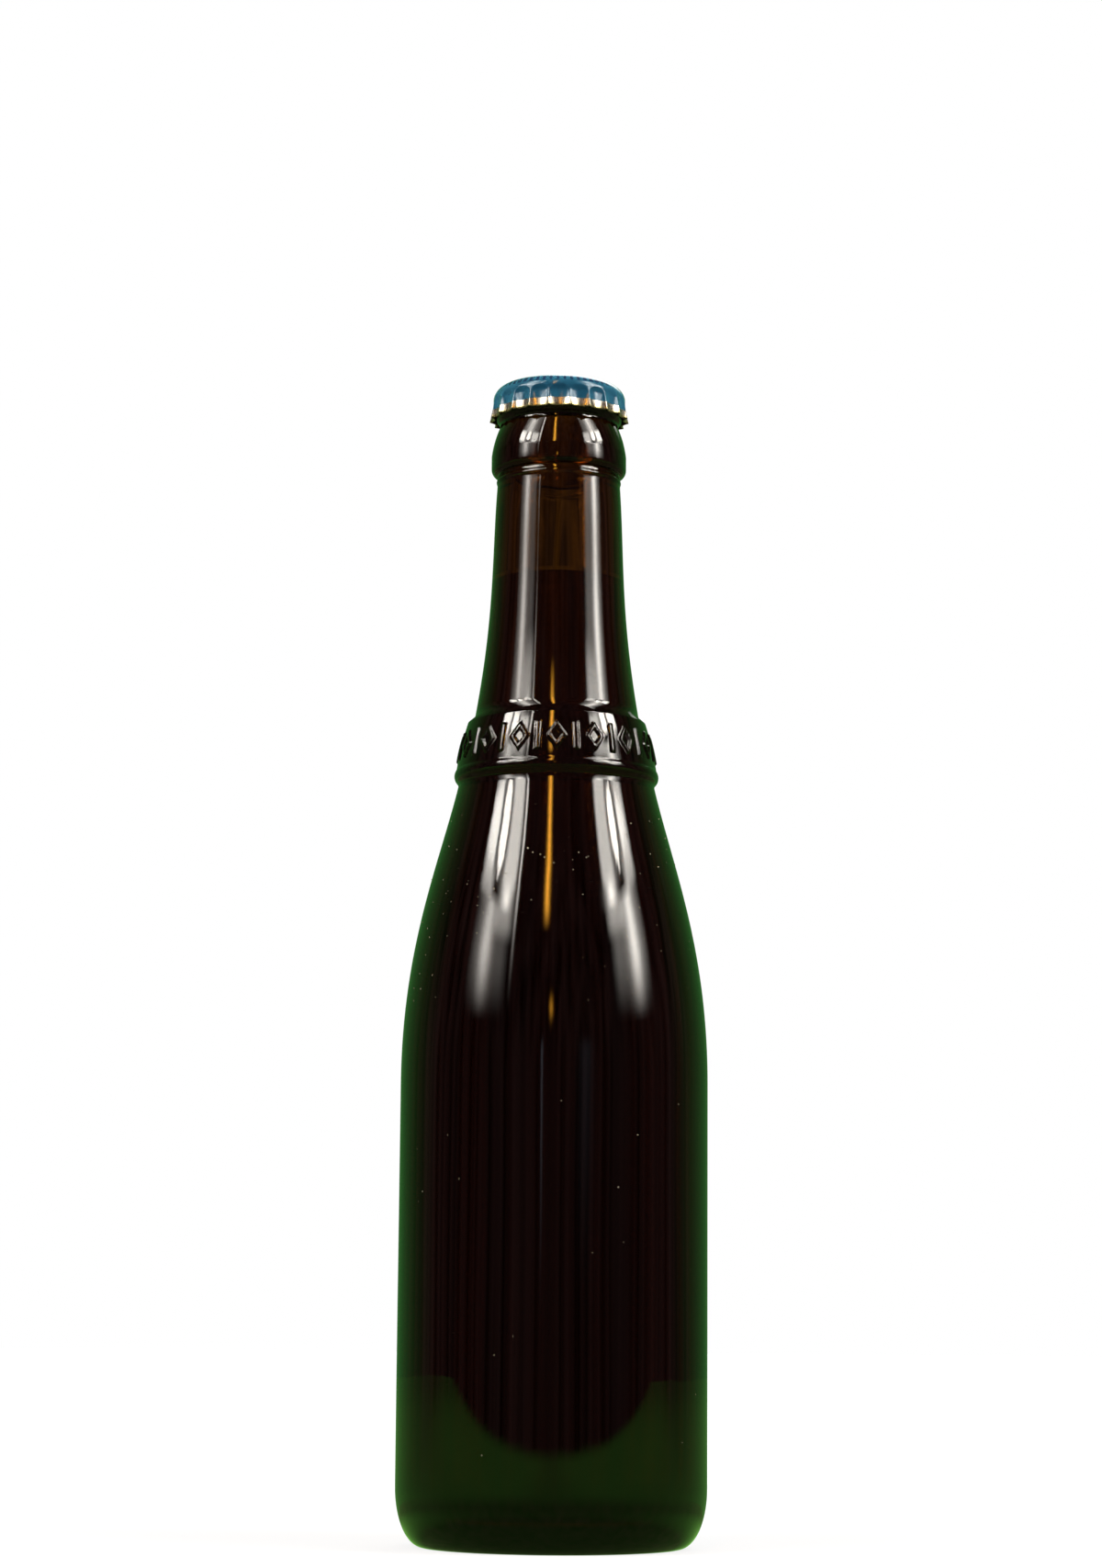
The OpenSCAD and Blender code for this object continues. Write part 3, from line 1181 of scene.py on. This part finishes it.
@dataclass
class CrownCap:
    """The crimped crown cap: lacquered outside down to its flared edge of bare tin.

    Sizes are in millimetres. Between its ridges lie pressed panels with round arches at their tops.
    """

    top: float
    edge: float
    outer_r: float
    top_rings: tuple[float, ...] = (2.5, 5.0, 7.5, 9.3)
    flutes: int = 21
    steps_per_flute: int = 32
    sheet: float = 0.3
    flat_r: float = 10.05
    bend_r: float = 13.5
    round_h: float = 3.0
    arch_top: float = 230.2
    arch_h: float = 1.6
    panel_w: float = 3.9
    panel_depth: float = 0.85
    panel_power: float = 0.85
    panel_least: float = 0.35
    arch_press: float = 1.5
    flare_power: float = 1.25
    edge_round: float = 0.06
    bare_h: float = 1.7
    varnish_h: float = 0.6
    round_rows: int = 20
    skirt_rows: int = 8
    bare_rows: int = 6
    lacquer: LacquerFinish = LacquerFinish()

    def side_rows(self) -> list[Point]:
        """Radius and height of the outer side without its panels, from the top down to the edge.

        Returns:
            Radius and height of each point.
        """
        bend_z = self.top - self.round_h
        across = self.bend_r - self.flat_r
        rows = ellipse((self.flat_r, bend_z), across, self.round_h, 90.0, 0.0, self.round_rows)
        bare_z = self.edge + self.bare_h
        skirt = np.linspace(bend_z, bare_z, self.skirt_rows + 1)[1:]
        bare = np.linspace(bare_z, self.edge, self.bare_rows + 1)[1:]
        return rows + [(self._flared(float(z), bend_z), float(z)) for z in (*skirt, *bare)]

    def _flared(self, z: float, bend_z: float) -> float:
        """Radius of a ridge at height z, which spreads towards the edge."""
        share = (bend_z - z) / (bend_z - self.edge)
        return self.bend_r + (self.outer_r - self.bend_r) * share**self.flare_power

    def pressed(self, angle: np.ndarray, z: float) -> np.ndarray:
        """How deep the panels between the ridges are pressed in.

        Args:
            angle: Angles round the axis in radians.
            z: Height in millimetres.

        Returns:
            The depth at each angle.
        """
        turns = (angle + math.pi / 2.0) * self.flutes / (2.0 * math.pi)
        across = np.abs(turns - np.round(turns)) * 2.0 * math.pi * self.bend_r / self.flutes
        down = self.arch_top - z
        if down <= 0.0:
            return np.zeros_like(angle)
        lift = min(1.0, down / self.arch_h)
        half = self.panel_w / 2.0 * math.sqrt(1.0 - (1.0 - lift) ** 2)
        share = np.clip(1.0 - (across / half) ** 2, 0.0, 1.0) ** self.panel_power
        deep = self.panel_least + (1.0 - self.panel_least) * down / (self.arch_top - self.edge)
        return self.panel_depth * deep * min(1.0, lift * self.arch_press) * share

    def build(self) -> bpy.types.Object:
        """Makes the cap.

        Returns:
            The finished piece.
        """
        skin = Skin()
        angle = -circle(self.flutes * self.steps_per_flute) - math.pi / 2.0
        last = skin.tip(self.top)
        for radius in self.top_rings:
            ring = skin.ring(angle, np.full_like(angle, radius), self.top)
            skin.bridge(last, ring)
            last = ring
        side = self.side_rows()
        for row, (radius, z) in enumerate(side):
            ring = skin.ring(angle, radius - self.pressed(angle, z), z)
            skin.bridge(last, ring, 1 if row >= len(side) - self.bare_rows else 0)
            last = ring
        low_r, low_z = side[-1]
        middle = low_r - self.sheet / 2.0 - self.pressed(angle, low_z)
        ring = skin.ring(angle, middle, low_z - self.edge_round)
        skin.bridge(last, ring, 1)
        last = ring
        for radius, z in side[::-1]:
            inner_z = min(z, self.top - self.sheet)
            ring = skin.ring(angle, radius - self.sheet - self.pressed(angle, z), inner_z)
            skin.bridge(last, ring, 1)
            last = ring
        skin.bridge(last, skin.tip(self.top - self.sheet), 1)
        tin = TinFinish(varnish_top=(self.edge + self.varnish_h) * MM)
        piece = skin.build("crown", [self.lacquer.material(), tin.material()])
        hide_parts(Node.CAP.value)
        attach(piece, "root")
        return piece


@dataclass
class Dust:
    """Small pale specks of dry dust on the shoulder and a few lower down, in millimetres.

    Attributes:
        shape: The bottle that they lie on.
        on_shoulder: How many lie on the shoulder.
        shoulder_z: The lowest, the likeliest and the highest place of those.
        elsewhere: How many lie on the body.
        body_z: The lowest and the highest place of those.
        smallest: Size of the smallest speck.
        largest: Size of the largest.
        corners: Corners round a speck.
        flatness: How thick a speck is, as a share of its size.
        uneven: The least and the most that a corner stands out, as a share of its size.
        seed: What the draws start from.
        finish: What they are made of.
    """

    shape: BottleShape
    on_shoulder: int = 190
    shoulder_z: Triple = (100.0, 132.0, 149.0)
    elsewhere: int = 46
    body_z: Point = (16.0, 90.0)
    smallest: float = 0.09
    largest: float = 0.22
    corners: int = 6
    flatness: float = 0.6
    uneven: Point = (0.6, 1.2)
    seed: int = 33
    finish: DustFinish = DustFinish()

    def _places(self) -> list[tuple[float, float, float]]:
        """Where the specks lie.

        Returns:
            Radius, height and angle of each speck.
        """
        dice = np.random.default_rng(self.seed)
        shoulder = np.array(self.shape.shoulder_line())
        heights = dice.triangular(*self.shoulder_z, self.on_shoulder)
        places = [(float(np.interp(z, shoulder[:, 1], shoulder[:, 0])), float(z)) for z in heights]
        lower = dice.uniform(*self.body_z, self.elsewhere)
        places += [(self.shape.body_r, float(z)) for z in lower]
        return [(r, z, float(dice.uniform(0.0, 2.0 * math.pi))) for r, z in places]

    def build(self) -> bpy.types.Object:
        """Makes all specks as one mesh of small closed lumps.

        Returns:
            The finished piece.
        """
        dice = np.random.default_rng(self.seed + 1)
        points: list[np.ndarray] = []
        faces: list[tuple[int, ...]] = []
        up = np.array([0.0, 0.0, 1.0])
        around = circle(self.corners)
        for radius, z, angle in self._places():
            size = dice.uniform(self.smallest, self.largest)
            reach = size * dice.uniform(*self.uneven, self.corners)
            out = np.array([math.cos(angle), math.sin(angle), 0.0])
            side = np.array([-math.sin(angle), math.cos(angle), 0.0])
            centre = out * radius + up * z
            first = sum(len(block) for block in points)
            ring = [centre + (side * math.cos(a) + up * math.sin(a)) * r for a, r in zip(around, reach)]
            half = out * size * self.flatness
            points.append(np.array([centre + half, centre - half, *ring]))
            for k in range(self.corners):
                a, b = first + 2 + k, first + 2 + (k + 1) % self.corners
                faces += [(first, a, b), (first + 1, b, a)]
        skin = Skin(points=points, faces=faces, finishes=[0] * len(faces))
        piece = skin.build("dust", [self.finish.material()])
        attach(piece, "root")
        return piece


# --- the studio ---------------------------------------------------------------------------------

WARM_WHITE_LEFT = (1.0, 0.95, 0.875)
WARM_WHITE_RIGHT = (1.0, 0.955, 0.88)
PLAIN_WHITE = (1.0, 0.98, 0.95)
COOL_WHITE = (0.8, 0.95, 1.15)
AMBER = (19.0, 8.2, 0.7)
HUNG_GREEN = (0.052, 0.205, 0.046)


@dataclass(frozen=True)
class Hump:
    """A soft rise to 1 in its middle, from 0 far off."""

    middle: float
    width: float

    def at(self, value: np.ndarray) -> np.ndarray:
        """Its height at each value."""
        return np.exp(-(((value - self.middle) / self.width) ** 2))


@dataclass(frozen=True)
class Span:
    """A stretch that is 1 inside and 0 outside, with softened ends."""

    low: float
    high: float
    soft: float

    def at(self, value: np.ndarray) -> np.ndarray:
        """Its height at each value."""
        return band(value, self.low, self.high, self.soft)


@dataclass(frozen=True)
class Rise:
    """A smooth rise from 0 at low to 1 at high."""

    low: float
    high: float

    def at(self, value: np.ndarray) -> np.ndarray:
        """Its height at each value."""
        return ease(value, self.low, self.high)


class Glow(ABC):
    """How the brightness of a card varies over its face. Places are in degrees."""

    @abstractmethod
    def at(self, azimuth: np.ndarray, elevation: np.ndarray) -> np.ndarray:
        """The brightness at each place.

        Args:
            azimuth: Degrees from the camera's side, to the right.
            elevation: Degrees above the horizon.

        Returns:
            The brightness at each place.
        """


@dataclass(frozen=True)
class WindowGlow(Glow):
    """A tall softbox: two panes with a bar between them, a bright sill under them and a faint foot.

    Attributes:
        middle: Azimuth of its middle.
        outward: 1 if azimuth grows away from the camera there, or -1.
        inner_light: Brightness of the pane on the camera's side.
        foot_light: Brightness of the foot.
        foot_lean: Degrees that the foot's middle lies further out.
        strength: What the whole is multiplied by.
    """

    middle: float
    outward: float
    inner_light: float
    foot_light: float
    foot_lean: float
    strength: float = 1.0
    inner_pane: Span = Span(-21.0, -8.0, 2.2)
    outer_pane: Span = Span(6.0, 17.5, 1.6)
    outer_light: float = 18.0
    bar_middle: float = -1.2
    bar_half: float = 4.0
    bar_soft: float = 0.8
    bar_light: float = 22.0
    bar_foot: float = 32.4
    bar_widens: float = 2.4
    bar_least: float = 0.1
    haze: Span = Span(-20.0, 16.0, 2.0)
    haze_light: float = 2.2
    top: Hump = Hump(0.0, 8.0)
    top_light: float = 10.0
    top_haze: Span = Span(-20.0, 16.0, 3.0)
    top_haze_light: float = 1.5
    top_rise: Rise = Rise(39.0, 43.0)
    sill: Span = Span(3.0, 15.0, 3.0)
    sill_light: float = 8.0
    sill_end: Hump = Hump(-14.0, 5.0)
    sill_end_light: float = 21.0
    sill_rise: Rise = Rise(28.6, 31.0)
    pane_rise: Rise = Rise(31.2, 34.0)
    foot_w: float = 5.0
    foot_rise: Rise = Rise(11.0, 23.0)
    foot_haze: Span = Span(-18.5, 12.0, 4.0)
    foot_haze_share: float = 0.15
    step: Span = Span(-21.0, -5.0, 3.0)
    step_light: float = 4.5
    step_rise: Rise = Rise(24.0, 28.0)

    def at(self, azimuth: np.ndarray, elevation: np.ndarray) -> np.ndarray:
        """The brightness at each place, as the upper part, the sill and the foot follow each other.

        Args:
            azimuth: Degrees from the camera's side, to the right.
            elevation: Degrees above the horizon.

        Returns:
            The brightness at each place.
        """
        outward = (azimuth - self.middle) * self.outward
        upper = self.pane_rise.at(elevation)
        between = self.sill_rise.at(elevation) * (1.0 - upper)
        sill = self.sill_light * self.sill.at(outward) + self.sill_end_light * self.sill_end.at(outward)
        light = self._high(outward, elevation) * upper + sill * between
        return self.strength * (light + self._low(outward, elevation) * (1.0 - upper - between))

    def _high(self, outward: np.ndarray, elevation: np.ndarray) -> np.ndarray:
        """Brightness of the panes and the bar, and of the plain part above them.

        Args:
            outward: Degrees from the middle of the box, away from the camera.
            elevation: Degrees above the horizon.

        Returns:
            The brightness at each place.
        """
        half = self.bar_half * np.clip((elevation - self.bar_foot) / self.bar_widens, 0.0, 1.0)
        bar = band(outward, self.bar_middle - half, self.bar_middle + half, self.bar_soft)
        outer, inner = self.outer_pane.at(outward), self.inner_pane.at(outward)
        panes = self.outer_light * outer + self.inner_light * inner
        panes = np.maximum(panes, self.bar_light * bar * (half > self.bar_least))
        panes = panes + self.haze_light * self.haze.at(outward)
        top = self.top_light * self.top.at(outward) + self.top_haze_light * self.top_haze.at(outward)
        return panes + (top - panes) * self.top_rise.at(elevation)

    def _low(self, outward: np.ndarray, elevation: np.ndarray) -> np.ndarray:
        """Brightness of the foot and of the step at its upper end.

        Args:
            outward: Degrees from the middle of the box, away from the camera.
            elevation: Degrees above the horizon.

        Returns:
            The brightness at each place.
        """
        foot = Hump(self.foot_lean, self.foot_w).at(outward)
        foot = foot + self.foot_haze_share * self.foot_haze.at(outward)
        step = self.step_light * self.step.at(outward) * self.step_rise.at(elevation)
        return self.foot_light * self.foot_rise.at(elevation) * foot + step


@dataclass(frozen=True)
class SlitWindowGlow(WindowGlow):
    """A tall softbox with a thin bright slit beside it, brighter upwards."""

    slit: Hump = Hump(-35.4, 1.1)
    slit_light: float = 15.0
    slit_foot: float = 12.0
    slit_h: float = 26.0
    slit_power: float = 2.5

    def at(self, azimuth: np.ndarray, elevation: np.ndarray) -> np.ndarray:
        """The brightness at each place."""
        height = np.clip((elevation - self.slit_foot) / self.slit_h, 0.0, 1.0) ** self.slit_power
        return super().at(azimuth, elevation) + self.slit_light * self.slit.at(azimuth) * height


@dataclass(frozen=True)
class LampGlow(Glow):
    """The narrow warm lamp near the camera, with a short weaker one under it."""

    tall: Hump = Hump(-8.2, 2.1)
    tall_rise: Rise = Rise(27.5, 33.0)
    short: Hump = Hump(-2.7, 1.3)
    short_h: Hump = Hump(14.2, 1.7)
    short_light: float = 0.35

    def at(self, azimuth: np.ndarray, elevation: np.ndarray) -> np.ndarray:
        """The brightness at each place."""
        tall = self.tall.at(azimuth) * self.tall_rise.at(elevation)
        return tall + self.short_light * self.short.at(azimuth) * self.short_h.at(elevation)


@dataclass(frozen=True)
class SheenGlow(Glow):
    """A faint cool slit low in front of the bottle, and a wider glow beside it."""

    slit: Hump = Hump(-9.2, 0.7)
    wide: Hump = Hump(23.0, 4.5)
    wide_share: float = 0.22
    light: float = 0.5
    rise: Rise = Rise(-3.0, 5.0)
    fall: Rise = Rise(7.0, 9.5)

    def at(self, azimuth: np.ndarray, elevation: np.ndarray) -> np.ndarray:
        """The brightness at each place."""
        across = self.slit.at(azimuth) + self.wide_share * self.wide.at(azimuth)
        return self.light * across * self.rise.at(elevation) * (1.0 - self.fall.at(elevation))


@dataclass(frozen=True)
class RearGlow(Glow):
    """The weaker softbox behind the bottle."""

    across: Span = Span(145.0, 185.0, 6.0)
    up: Span = Span(32.0, 62.0, 6.0)
    light: float = 4.0

    def at(self, azimuth: np.ndarray, elevation: np.ndarray) -> np.ndarray:
        """The brightness at each place."""
        return self.light * self.across.at(azimuth) * self.up.at(elevation)


@dataclass(frozen=True)
class WallGlow(Glow):
    """The green cloth that hangs behind the bottle, darker upwards."""

    from_right: Rise = Rise(92.0, 156.0)
    to_left: Rise = Rise(204.0, 268.0)
    darker: Rise = Rise(20.0, 60.0)
    darker_share: float = 0.5

    def at(self, azimuth: np.ndarray, elevation: np.ndarray) -> np.ndarray:
        """The brightness at each place."""
        away = self.from_right.at(azimuth) * (1.0 - self.to_left.at(azimuth))
        return away * (1.0 - self.darker_share * self.darker.at(elevation))


def lit_sheet(points: np.ndarray, light: np.ndarray, finish: GlowFinish) -> bpy.types.Object:
    """Makes a studio piece from a grid of points, seen in reflections and not by the camera.

    Args:
        points: The points in metres, rows by columns by three.
        light: Brightness at each point, rows by columns.
        finish: Its finish, whose name it takes.

    Returns:
        The piece.
    """
    rows, wide = light.shape
    faces = [
        (i * wide + j, i * wide + j + 1, (i + 1) * wide + j + 1, (i + 1) * wide + j)
        for i in range(rows - 1)
        for j in range(wide - 1)
    ]
    mesh = bpy.data.meshes.new(finish.name)
    mesh.from_pydata(points.reshape(-1, 3).tolist(), [], faces)
    painted = mesh.attributes.new(GLOW_MARK, "FLOAT", "POINT")
    painted.data.foreach_set("value", light.reshape(-1).astype(np.float32))
    mesh.materials.append(finish.material())
    sheet = bpy.data.objects.new(finish.name, mesh)
    bpy.context.scene.collection.objects.link(sheet)
    sheet.visible_camera = False
    sheet.visible_shadow = False
    return sheet


@dataclass(frozen=True)
class LightCard:
    """A large curved card far round the bottle, whose brightness varies over its face.

    Attributes:
        finish: Its light.
        glow: How bright each place is.
        across: Its left and right ends, in degrees of azimuth.
        up: Its lower and upper ends, in degrees of elevation.
        step: Degrees between its columns of points.
        rise: Degrees between its rows.
        distance: How far it stands off, in metres.
        aim: Height in metres of the point that it bends round.
        through: Whether it shows through the glass.
        on_matt: Whether it lights matt things.
    """

    finish: GlowFinish
    glow: Glow
    across: Point
    up: Point
    step: float = 0.5
    rise: float = 1.0
    distance: float = 1.4
    aim: float = 0.115
    through: bool = True
    on_matt: bool = True

    def build(self) -> bpy.types.Object:
        """Makes the card.

        Returns:
            The card.
        """
        across, up = self._ticks(self.across, self.step), self._ticks(self.up, self.rise)
        azimuth, elevation = np.meshgrid(across, up)
        a, e = np.radians(azimuth), np.radians(elevation)
        way = np.stack([np.sin(a) * np.cos(e), -np.cos(a) * np.cos(e), np.sin(e)], axis=-1)
        points = self.distance * way + np.array([0.0, 0.0, self.aim])
        card = lit_sheet(points, self.glow.at(azimuth, elevation), self.finish)
        card.visible_transmission = self.through
        card.visible_diffuse = self.on_matt
        return card

    def _ticks(self, ends: Point, step: float) -> np.ndarray:
        """Evenly spaced angles from one end to the other, about a step apart."""
        return np.linspace(*ends, max(2, int((ends[1] - ends[0]) / step) + 1))


@dataclass(frozen=True)
class Cloth:
    """The dark green cloth round the bottle, which only mirrors show, weaker where it is met steeply, with
    a painted shadow of the camera and its stand down its middle.

    Sizes are in metres, and y runs away from the camera.
    """

    hole: float = 0.02
    reach: float = 2.5
    rings: int = 44
    turn: float = 4.0
    drop: float = 0.0005
    front: Rise = Rise(-0.64, -0.5)
    near: Rise = Rise(0.03, 0.065)
    near_light: float = 2.4
    back: Rise = Rise(-0.20, 0.25)
    back_loss: float = 0.55
    far: Rise = Rise(0.5, 2.2)
    far_loss: float = 0.6
    # the middle strip is a painted shadow of the camera and its stand
    middle: Hump = Hump(0.0, 0.07)
    painted_shadow_loss: float = 0.3
    finish: GlowFinish = GlowFinish("cloth", (0.140, 0.360, 0.066), cover=1.0, steep=0.22)

    def build(self) -> bpy.types.Object:
        """Lays the cloth.

        Returns:
            The cloth.
        """
        around = np.radians(np.arange(0.0, 360.0 + self.turn / 2.0, self.turn))
        reach, turn = np.meshgrid(np.geomspace(self.hole, self.reach, self.rings), around)
        x, y = reach * np.cos(turn), reach * np.sin(turn)
        light = self.front.at(y) * (1.0 + self.near_light * (1.0 - self.near.at(reach)))
        light = light * (1.0 - self.back_loss * self.back.at(y))
        light = light * (1.0 - self.far_loss * self.far.at(reach))
        # painted shadow of the camera and its stand: darker in a strip along x = 0
        light = light * (1.0 - self.painted_shadow_loss * self.middle.at(x))
        cloth = lit_sheet(np.stack([x, y, np.full_like(x, -self.drop)], axis=-1), light, self.finish)
        cloth.visible_diffuse = False
        cloth.visible_transmission = False
        return cloth


@dataclass
class Studio:
    """The pale floor, the dark green surroundings, the lights and the camera."""

    floor_r: float = 6.0
    floor_sides: int = 64
    dark_colour: Colour = (0.068, 0.034, 0.032)
    seen_through: Colour = (0.140, 0.145, 0.100)
    fill_colour: Colour = (0.42, 0.43, 0.45)
    streak_stretch: Triple = (13.0, 13.0, 0.3)
    streak_least: float = 0.1
    streak_most: float = 2.0
    camera_place: Triple = (-0.0011, -0.6977, 0.0418)
    camera_pitch: float = 8.86
    camera_roll: float = 0.45
    camera_lens: float = 80.457
    sensor_w: float = 36.0
    clip_near: float = 0.01
    clip_far: float = 100.0

    def cards(self) -> list[LightCard]:
        """The light cards.

        Returns:
            The two softboxes in front, the warm lamp, the low sheen, and the softbox and cloth behind.
        """
        return [
            LightCard(
                GlowFinish("softbox_left", WARM_WHITE_LEFT),
                SlitWindowGlow(middle=-60.0, outward=-1.0, inner_light=11.0, foot_light=9.0, foot_lean=0.0),
                across=(-84.0, -30.0),
                up=(8.0, 62.0),
            ),
            LightCard(
                GlowFinish("softbox_right", WARM_WHITE_RIGHT),
                WindowGlow(68.0, 1.0, inner_light=8.0, foot_light=13.5, foot_lean=1.0, strength=1.15),
                across=(40.0, 92.0),
                up=(8.0, 62.0),
            ),
            LightCard(
                GlowFinish("lamp_amber", AMBER),
                LampGlow(),
                across=(-14.0, 1.0),
                up=(9.0, 62.0),
                rise=0.5,
            ),
            LightCard(
                GlowFinish("sheen_blue", COOL_WHITE),
                SheenGlow(),
                across=(-12.0, 36.0),
                up=(-4.0, 11.0),
                step=0.4,
                through=False,
            ),
            LightCard(
                GlowFinish("softbox_rear", PLAIN_WHITE),
                RearGlow(),
                across=(135.0, 195.0),
                up=(24.0, 70.0),
                step=2.0,
                rise=2.0,
                through=False,
            ),
            LightCard(
                GlowFinish("cloth_rear", HUNG_GREEN, cover=1.0),
                WallGlow(),
                across=(80.0, 280.0),
                up=(-8.0, 60.0),
                step=3.0,
                rise=4.0,
                distance=4.0,
                through=False,
                on_matt=False,
            ),
        ]

    def build(self) -> None:
        """Makes everything round the bottle."""
        self._floor()
        Cloth().build()
        for card in self.cards():
            LOG.info("light card %s", card.build().name)
        self._world()
        self._camera()
        bpy.context.scene.view_settings.view_transform = "Standard"

    def _floor(self) -> None:
        """Lays the pale floor, which reflections don't show."""
        angles = circle(self.floor_sides)
        points = [(self.floor_r * math.cos(a), self.floor_r * math.sin(a), 0.0) for a in angles]
        mesh = bpy.data.meshes.new("floor")
        mesh.from_pydata(points, [], [tuple(range(self.floor_sides))])
        mesh.materials.append(FloorFinish().material())
        floor = bpy.data.objects.new("floor", mesh)
        bpy.context.scene.collection.objects.link(floor)
        floor.visible_glossy = False
        floor.visible_transmission = False
        floor.visible_diffuse = False

    def _world(self) -> None:
        """Sets the surroundings: white to the eye, dark in reflections, dim through the glass."""
        recipe = Recipe(bpy.data.worlds.new("surroundings"))
        path = recipe.add("LightPath")
        glossy = recipe.blend(path, "Is Glossy Ray", self.fill_colour, self.dark_colour)
        through = recipe.blend(path, "Is Transmission Ray", self.fill_colour, self.seen_through)
        seen = recipe.blend(path, "Is Camera Ray", self.fill_colour, WHITE)
        recipe.join(self._streaks(recipe, self.dark_colour), 0, glossy, 7)
        recipe.join(self._streaks(recipe, self.seen_through), 0, through, 7)
        recipe.join(glossy, 2, through, 6)
        recipe.join(through, 2, seen, 6)
        light = recipe.add("Background")
        recipe.join(seen, 2, light, "Color")
        bpy.context.scene.world = recipe.finish(light)

    def _streaks(self, recipe: Recipe, colour: Colour) -> bpy.types.Node:
        """Soft upright streaks in the surroundings that the glass shows.

        Args:
            recipe: The world being made.
            colour: Their middle colour.

        Returns:
            The node whose first output is the streaked colour.
        """
        noise = recipe.add("TexNoise", {"Scale": 1.0, "Detail": 2.0})
        recipe.join(recipe.place(self.streak_stretch, "Generated"), 0, noise, "Vector")
        share = recipe.spread(noise, "Fac", self.streak_least, self.streak_most)
        tinted = recipe.add("VectorMath", {0: colour}, operation="SCALE")
        recipe.join(share, "Result", tinted, "Scale")
        return tinted

    def _camera(self) -> None:
        """Sets the camera low in front of the bottle, looking slightly up."""
        pitch, roll = math.radians(self.camera_pitch), math.radians(self.camera_roll)
        back = Vector((0.0, -math.cos(pitch), -math.sin(pitch)))
        up = Vector((0.0, -math.sin(pitch), math.cos(pitch)))
        right = Vector((1.0, 0.0, 0.0))
        rolled_right = right * math.cos(roll) + up * math.sin(roll)
        rolled_up = up * math.cos(roll) - right * math.sin(roll)
        data = bpy.data.cameras.new("camera")
        data.lens = self.camera_lens
        data.sensor_width = self.sensor_w
        data.clip_start = self.clip_near
        data.clip_end = self.clip_far
        camera = bpy.data.objects.new("camera", data)
        turn = Matrix((rolled_right, rolled_up, back)).transposed().to_4x4()
        camera.matrix_world = Matrix.Translation(self.camera_place) @ turn
        bpy.context.scene.collection.objects.link(camera)
        bpy.context.scene.camera = camera


def main() -> None:
    """Builds the bottle's pieces in order, then the studio."""
    logging.basicConfig(level=logging.INFO, format="%(name)s: %(message)s")
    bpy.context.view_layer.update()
    shape = BottleShape()
    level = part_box(Node.BEER.value)[1].z / MM
    cap_low, cap_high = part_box(Node.CAP.value)
    cap = CrownCap(top=cap_high.z / MM, edge=cap_low.z / MM, outer_r=cap_high.y / MM)
    for part in (GlassShell(shape, level), Beer(shape, level), cap, Dust(shape)):
        report(part.build())
    Studio().build()


if __name__ == "__main__":
    main()
